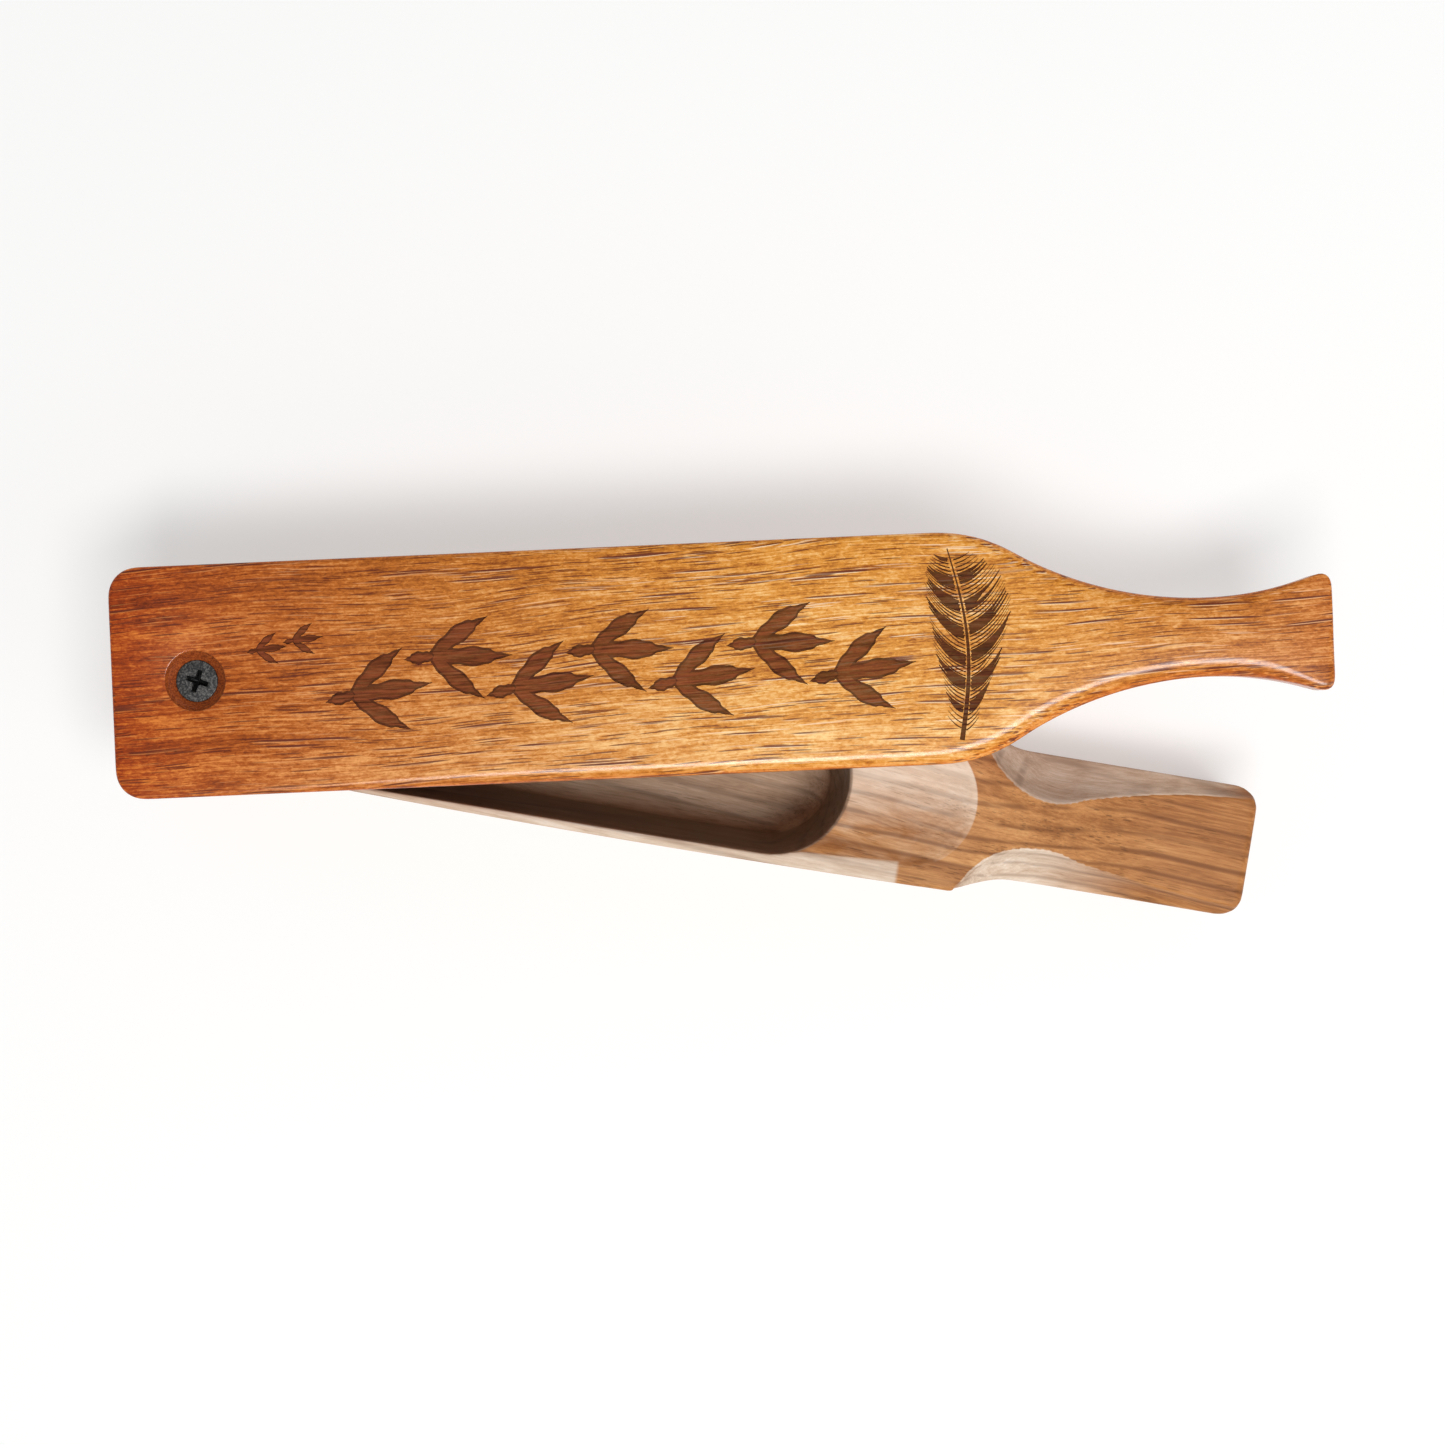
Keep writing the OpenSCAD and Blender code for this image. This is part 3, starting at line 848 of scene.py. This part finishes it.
def bare_masks(s, x, y, z, mottle):
    """Where the wood is bare, from the box's own shape: all of it, the scoop (paler towards the lid, partly
    painted light), the handle's flanks.
    """
    # the scoop's bare share rises towards the lid: partly bare sanded wood, partly painted light where its
    # far slope faces the key light
    scoop_paler_to_lid = s.centred(mottle, 0.8, s.ramp(y, -11.0, 7.0, 0.12, 1.0))
    scoop = s.times(round_ended(s, x, y, SCOOP_END_X, SCOOP_END_R), s.ramp(z, 30.0, 31.0), scoop_paler_to_lid)
    chamber = s.times(round_ended(s, x, y, CHAMBER_END_X, CHAMBER_END_R), s.ramp(z, 4.0, 5.0, 0.0, 0.6))
    from_top = s.math("SUBTRACT", x, LIP_TOP_X)
    lip = s.math("SUBTRACT", LIP_TOP_Z, s.times(from_top, from_top, 1 / LIP_ARCH_D))
    lips = s.times(s.ramp(s.math("SUBTRACT", lip, z), 0.5, 0.25), s.ramp(x, 143.8, 142.8))
    # the handle's flanks are sanded bare as well, down to its straight sides
    up = s.parts(s.node("ShaderNodeTexCoord", out="Normal"))[2]
    slope = s.times(s.ramp(up, 0.95, 0.86), s.ramp(up, 0.12, 0.30))
    far_side = s.times(s.ramp(y, -1.0, 1.0), s.ramp(x, 214.0, 204.0))
    ends = s.math("MAXIMUM", s.ramp(x, 196.0, 168.0), far_side)
    flank = s.times(slope, s.ramp(x, 155.0, 157.0), ends)
    bare = s.math("MAXIMUM", scoop, s.math("MAXIMUM", chamber, lips))
    return s.math("MAXIMUM", bare, s.times(flank, s.ramp(z, 12.0, 15.0))), scoop, flank


def walnut():
    """Oiled walnut outside and on the handle; pale bare wood in the chamber, in the scoop and on the lips."""
    s = Shader("walnut")
    at = s.place()
    x, y, z = s.parts(at)
    sway = s.noise(s.scaled(at, (0.010, 0.02, 0.02)), 1.0, 2.0)
    slope = s.math("MULTIPLY_ADD", sway, 14.0, s.times(x, 0.045))
    grain = s.node("ShaderNodeCombineXYZ", {0: x, 1: s.math("ADD", y, slope), 2: z})
    rings = s.noise(s.scaled(grain, (0.004, 0.30, 0.12)), 1.0, 3.0, 0.5, 0.3)
    streak = s.noise(s.scaled(grain, (0.0045, 0.52, 0.34)), 1.0, 3.0, 0.6)
    fibre = s.noise(s.scaled(grain, (0.12, 1.9, 1.9)), 1.0, 5.0, 0.78)
    mottle = s.noise(s.scaled(at, (0.10, 0.25, 0.25)), 1.0, 3.0, 0.6, 0.6)
    tone = s.centred(rings, 1.15, 0.50)
    tone = s.centred(mottle, 0.55, tone)
    tone = s.centred(fibre, 1.25, tone, clamp=True)
    line = growth_lines(s, at, x, y, z, fibre, streak)

    # paler near the shoulder, more orange towards the handle's end
    oiled = s.mix(s.times(line, 0.74), s.colours(tone, OILED), (0.16, 0.056, 0.020))
    tint = s.mix(s.ramp(x, 150.0, 212.0), (1.13, 1.14, 1.08), (0.98, 0.90, 0.78))
    oiled = s.mix(1.0, oiled, tint, "MULTIPLY")
    bare = s.mix(s.times(line, 0.45), s.colours(tone, BARE), (0.22, 0.13, 0.085))
    mask, scoop, flank = bare_masks(s, x, y, z, mottle)
    front = s.ramp(x, 13.0, 13.5)
    mask = s.math("MULTIPLY", mask, front, clamp=True)
    colour = s.mix(mask, oiled, bare)

    # painted light: the scoop is painted paler near the lid, where its far slope faces the key light; painted
    # shade: the far flank is painted greyer, as if in the shade of the shoulder
    painted_scoop_light = s.times(scoop, front, s.ramp(y, -6.0, 10.0, 0.0, 0.42))
    colour = s.mix(painted_scoop_light, colour, (0.95, 0.80, 0.64))
    # painted shade: the far flank is painted greyer and darker
    shade = s.times(flank, s.ramp(y, 0.0, 2.0), s.ramp(x, 196.0, 176.0))
    colour = s.mix(shade, colour, (0.80, 0.77, 0.76), "MULTIPLY")
    # painted shade: the chamber's walls are painted darker, partly the rough-milled wood's own colour
    painted_wall_shade = s.times(round_ended(s, x, y, CHAMBER_END_X, CHAMBER_END_R), front,
                   s.ramp(z, 8.0, 13.0), s.ramp(z, 40.6, 39.2))
    colour = s.mix(s.times(painted_wall_shade, 0.62), colour, (0.13, 0.070, 0.040))

    fine = pores(s, grain, 5.7, (5.0, 0.40), 0.44)
    large = pores(s, grain, 29.1, (11.0, 0.62), 0.52)
    dark = s.math("MAXIMUM", s.times(fine, 0.6), s.times(large, 0.85))
    dark = s.times(dark, s.math("MULTIPLY_ADD", mask, -0.65, 1.0))
    colour = s.mix(s.times(dark, 0.62), colour, (0.10, 0.046, 0.024))
    height = s.math("MULTIPLY_ADD", dark, -1.0, s.times(fibre, 0.45))
    rough = s.math("MULTIPLY_ADD", mask, 0.28, s.math("MULTIPLY_ADD", fibre, 0.14, 0.40))
    return s.set(Base_Color=colour, Roughness=rough, Normal=s.bump(height, 0.00012, 0.7),
                 Specular_IOR_Level=0.14)


# ---- metals and floor ------------------------------------------------------
def steel(name, dark, light, metallic, rough, speck, deep=None):
    """Metal with small speckles and uneven gloss; below the height deep it is painted black: painted shade in
    the cross's pit.
    """
    s = Shader(name)
    at = s.place()
    spots = s.noise(at, speck, 3.0, 0.7)
    wear = s.noise(at, 1.1, 3.0, 0.6)
    colour = s.mix(s.ramp(spots, 0.42, 0.68), dark, light)
    if deep is not None:
        # painted shade: the cross's pit below the height deep is painted nearly black
        depth = s.ramp(s.parts(at)[2], (deep - 1.3 * MM) / MM, (deep - 0.15 * MM) / MM, 0.8, 0.0)
        colour = s.mix(depth, colour, (0.004, 0.004, 0.004))
    return s.set(Base_Color=colour, Metallic=metallic,
                 Roughness=s.math("MULTIPLY_ADD", wear, 0.25, rough, clamp=True),
                 Normal=s.bump(spots, 0.00003, 0.6))


def floor_paint():
    """A pale floor that glows a little: painted light, which lifts and softens the shadows."""
    s = Shader("studio_floor")
    cloud = s.noise(s.place(), 0.004, 2.0)
    colour = s.mix(cloud, (0.52, 0.52, 0.518), (0.55, 0.55, 0.548))
    return s.set(Base_Color=colour, Roughness=0.9, Specular_IOR_Level=0.1,
                 # painted light: the floor's own glow
                 Emission_Color=(1.0, 1.0, 0.995), Emission_Strength=0.47)


# ---- the object ------------------------------------------------------------
def finish_piece(obj, body, node, slot, *materials):
    """Gives a piece its materials and hides its CAD node; a piece with one body is parented to that body, a
    piece squeezed between two bodies only has its place baked in. The slot is not used.
    """
    for material in materials:
        obj.data.materials.append(material)
    if isinstance(body, tuple):
        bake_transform(obj)
    else:
        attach(obj, body)
    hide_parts(node)


finish_piece(build_lid(), "lid", "lid_paddle", "mahogany", mahogany("mahogany"),
             mahogany("engraved_fill", ((0.135, 0.031, 0.012), 0.88)),
             mahogany("engraved_line", ((0.060, 0.014, 0.007), 0.90)))
finish_piece(build_box(), "box", "sound_box", "walnut", walnut())
finish_piece(build_screw(), "box", "pivot_screw", "black_oxide_steel",
             steel("black_oxide", (0.018, 0.018, 0.019), (0.13, 0.125, 0.118), 0.55, 0.40, 2.6,
                   SCREW_HIGH.z))
finish_piece(build_spring(), ("spring", "lid"), "tension_spring", "spring_steel",
             steel("spring_wire", (0.30, 0.30, 0.31), (0.55, 0.55, 0.56), 1.0, 0.22, 3.0))
finish_piece(build_washer(), "lid", "spring_washer", "zinc_plated_steel",
             steel("zinc_plate", (0.42, 0.43, 0.45), (0.66, 0.67, 0.69), 1.0, 0.25, 2.0))


# ---- stage, light and camera -----------------------------------------------
BOX_SLOPE = math.radians(9.4)               # the box runs down to the right by this much in the picture
IMAGE_RIGHT = Vector((math.cos(BOX_SLOPE), math.sin(BOX_SLOPE), 0))
IMAGE_UP = Vector((-math.sin(BOX_SLOPE), math.cos(BOX_SLOPE), 0))
CAMERA_DISTANCE = 0.560                     # above the lid's top
METRES_PER_PIXEL = 0.197 * MM               # at the lid's top
IMAGE_SIDE = 1445
MIDDLE = Vector((0.1, 0, 0.03))


def build_floor():
    half, n = 3.0, 12
    ticks = [-half + 2 * half * i / n for i in range(n + 1)]
    shell = Shell()
    shell.points([(x, y, BOX_LOW.z) for x in ticks for y in ticks])
    for i in range(n):
        for j in range(n):
            a, b = i * (n + 1) + j, (i + 1) * (n + 1) + j
            shell.face((a, b, b + 1, a + 1))
    floor = shell.mesh_object("floor", 40)
    floor.data.materials.append(floor_paint())


def soft_light(name, place, size, power):
    """A rectangular light that faces the middle of the call."""
    data = bpy.data.lights.new(name, "AREA")
    data.shape = "RECTANGLE"
    data.size, data.size_y = size
    data.energy = power
    light = bpy.data.objects.new(name, data)
    light.location = place
    light.rotation_euler = (MIDDLE - place).to_track_quat("-Z", "Y").to_euler()
    bpy.context.scene.collection.objects.link(light)


def build_camera():
    """Straight down over the middle of the call, turned so that the lid runs up a little to the right."""
    pivot_to_centre = IMAGE_RIGHT * 0.1039 - IMAGE_UP * 0.0082
    data = bpy.data.cameras.new("camera")
    data.sensor_width = 36
    data.lens = CAMERA_DISTANCE / METRES_PER_PIXEL / IMAGE_SIDE * data.sensor_width
    data.clip_start, data.clip_end = 0.01, 20
    camera = bpy.data.objects.new("camera", data)
    turn = Matrix((IMAGE_RIGHT, IMAGE_UP, Vector((0, 0, 1)))).transposed().to_4x4()
    height = Vector((0, 0, LID_TOP + CAMERA_DISTANCE))
    camera.matrix_world = Matrix.Translation(pivot_to_centre + height) @ turn
    bpy.context.scene.collection.objects.link(camera)
    bpy.context.scene.camera = camera


def build_world(horizon, zenith):
    """A soft white room that is darker overhead, so the lid's varnish doesn't go milky from above."""
    world = bpy.data.worlds.new("studio")
    world.use_nodes = True
    tree = world.node_tree
    height = tree.nodes.new("ShaderNodeSeparateXYZ")
    tree.links.new(tree.nodes.new("ShaderNodeTexCoord").outputs["Generated"], height.inputs[0])
    fade = tree.nodes.new("ShaderNodeMapRange")
    fade.inputs[3].default_value, fade.inputs[4].default_value = horizon, zenith
    tree.links.new(height.outputs[2], fade.inputs[0])
    background = tree.nodes["Background"]
    background.inputs[0].default_value = (1, 1, 1, 1)
    tree.links.new(fade.outputs[0], background.inputs[1])
    bpy.context.scene.world = world


build_camera()
build_floor()
build_world(0.62, 0.16)
KEY_PLACE = MIDDLE + IMAGE_RIGHT * 0.13 - IMAGE_UP * 0.30 + Vector((0, 0, 1.1))
FILL_PLACE = MIDDLE + IMAGE_RIGHT * 0.9 - IMAGE_UP * 0.5 + Vector((0, 0, 0.6))
soft_light("key", KEY_PLACE, (0.60, 0.28), 9.5)
soft_light("fill", FILL_PLACE, (0.7, 0.7), 2.0)
bpy.context.scene.view_settings.view_transform = "Standard"
